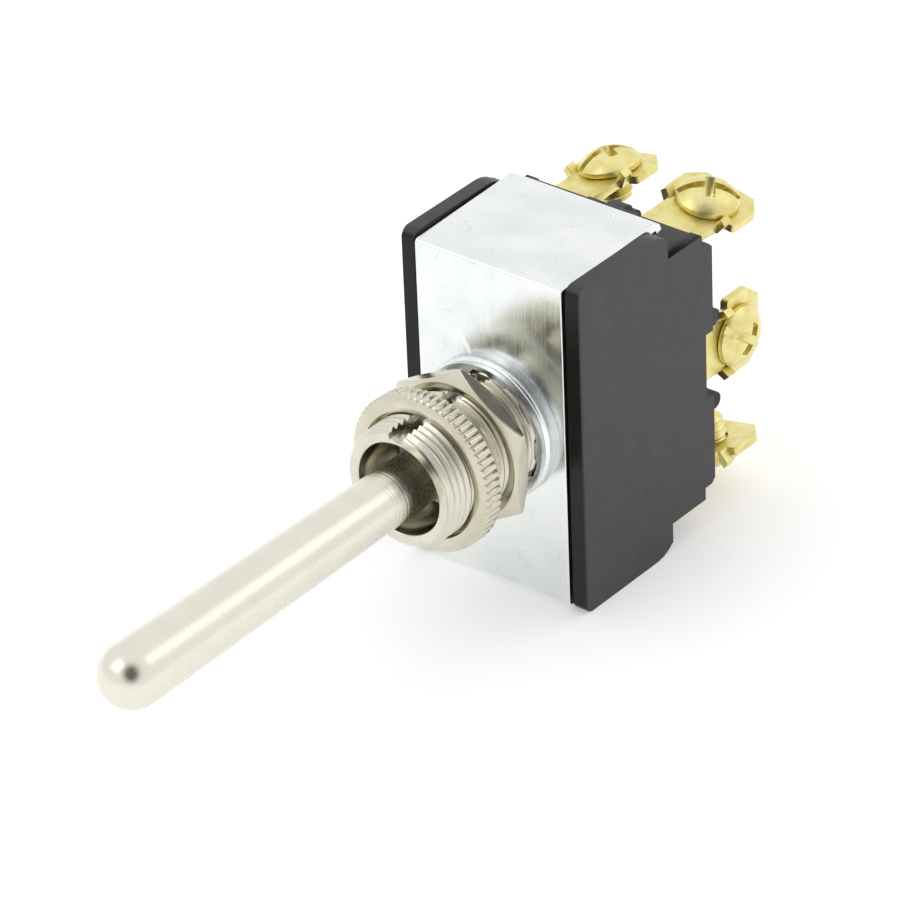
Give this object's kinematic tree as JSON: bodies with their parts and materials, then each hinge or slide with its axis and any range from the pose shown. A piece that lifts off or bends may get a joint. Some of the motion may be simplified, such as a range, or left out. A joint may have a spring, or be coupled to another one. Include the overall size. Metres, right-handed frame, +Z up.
{
  "type": "panel toggle switch",
  "caption": "Heavy-duty panel toggle switch with a straight round lever, threaded bushing, ring and hex nuts, folded metal frame and screw terminals on a moulded case.",
  "frame": {"origin": "on the bushing's axis, where the back of the panel seats on the hex nut's front face", "axes": "+Y into the case along the bushing's axis, the lever points along -Y; +Z up the case's long side, towards the keyway; +X to the right seen from the lever"},
  "size_m": [0.021, 0.0816, 0.034],
  "materials": {
    "case_phenolic": "satin",
    "zinc_steel": "gloss",
    "nickel_brass": "gloss",
    "nickel_nuts": "satin",
    "nickel_lever": "polished",
    "pin_steel": "satin",
    "fibre": "matte",
    "carrier_phenolic": "satin",
    "contact_brass": "satin",
    "contact_silver": "satin",
    "terminal_brass": "gloss",
    "screw_brass": "gloss"
  },
  "bodies": {
    "body": {"case": "case_phenolic", "frame": "zinc_steel", "bushing": "nickel_brass", "lock_washer": "nickel_nuts", "insulator": "fibre", "fulcrum_left": "contact_brass", "fulcrum_right": "contact_brass", "fixed_contact_upper_left": "contact_silver", "fixed_contact_upper_right": "contact_silver", "fixed_contact_lower_left": "contact_silver", "fixed_contact_lower_right": "contact_silver", "terminal_upper_left": "terminal_brass", "terminal_upper_right": "terminal_brass", "terminal_middle_left": "terminal_brass", "terminal_middle_right": "terminal_brass", "terminal_lower_left": "terminal_brass", "terminal_lower_right": "terminal_brass", "screw_upper_left": "screw_brass", "screw_upper_right": "screw_brass", "screw_middle_left": "screw_brass", "screw_middle_right": "screw_brass", "screw_lower_left": "screw_brass", "screw_lower_right": "screw_brass"},
    "hex_nut": {"hex_nut": "nickel_nuts"},
    "ring_nut": {"ring_nut": "nickel_nuts"},
    "lever": {"lever": "nickel_lever", "pivot_pin": "pin_steel", "plunger_carrier": "carrier_phenolic", "spring_left": "pin_steel", "spring_right": "pin_steel"},
    "plunger_left": {"plunger_left": "contact_brass"},
    "plunger_right": {"plunger_right": "contact_brass"},
    "rocker_left": {"rocker_left": "contact_brass", "moving_contact_upper_left": "contact_silver", "moving_contact_lower_left": "contact_silver"},
    "rocker_right": {"rocker_right": "contact_brass", "moving_contact_upper_right": "contact_silver", "moving_contact_lower_right": "contact_silver"}
  },
  "joints": [
    {"name": "lever_swing", "type": "hinge", "parent": "body", "child": "lever", "pos_m": [0, -0.0002, 0], "axis": [1, 0, 0], "range_deg": [-13, 13]},
    {"name": "rocker_left_swing", "type": "hinge", "parent": "body", "child": "rocker_left", "pos_m": [-0.0052, 0.0202, 0], "axis": [1, 0, 0], "range_deg": [-10.01, 10.01]},
    {"name": "rocker_right_swing", "type": "hinge", "parent": "body", "child": "rocker_right", "pos_m": [0.0052, 0.0202, 0], "axis": [1, 0, 0], "range_deg": [-10.01, 10.01]},
    {"name": "plunger_left_travel", "type": "slide", "parent": "lever", "child": "plunger_left", "axis": [0, 1, 0], "range_m": [-0.0008, 0], "stiffness_N_per_m": 800, "springref_m": 0.0015, "deforming": ["spring_left"]},
    {"name": "plunger_right_travel", "type": "slide", "parent": "lever", "child": "plunger_right", "axis": [0, 1, 0], "range_m": [-0.0008, 0], "stiffness_N_per_m": 800, "springref_m": 0.0015, "deforming": ["spring_right"]},
    {"name": "hex_nut_turn", "type": "hinge", "parent": "body", "child": "hex_nut", "pos_m": [0, 0.00095, 0], "axis": [0, -1, 0], "continuous": true},
    {"name": "ring_nut_turn", "type": "hinge", "parent": "body", "child": "ring_nut", "pos_m": [0, -0.0038, 0], "axis": [0, -1, 0], "continuous": true}
  ],
  "couplings": [
    {"joint": "rocker_left_swing", "follows": "lever_swing", "ratio": -0.76923},
    {"joint": "rocker_right_swing", "follows": "lever_swing", "ratio": -0.76923}
  ]
}
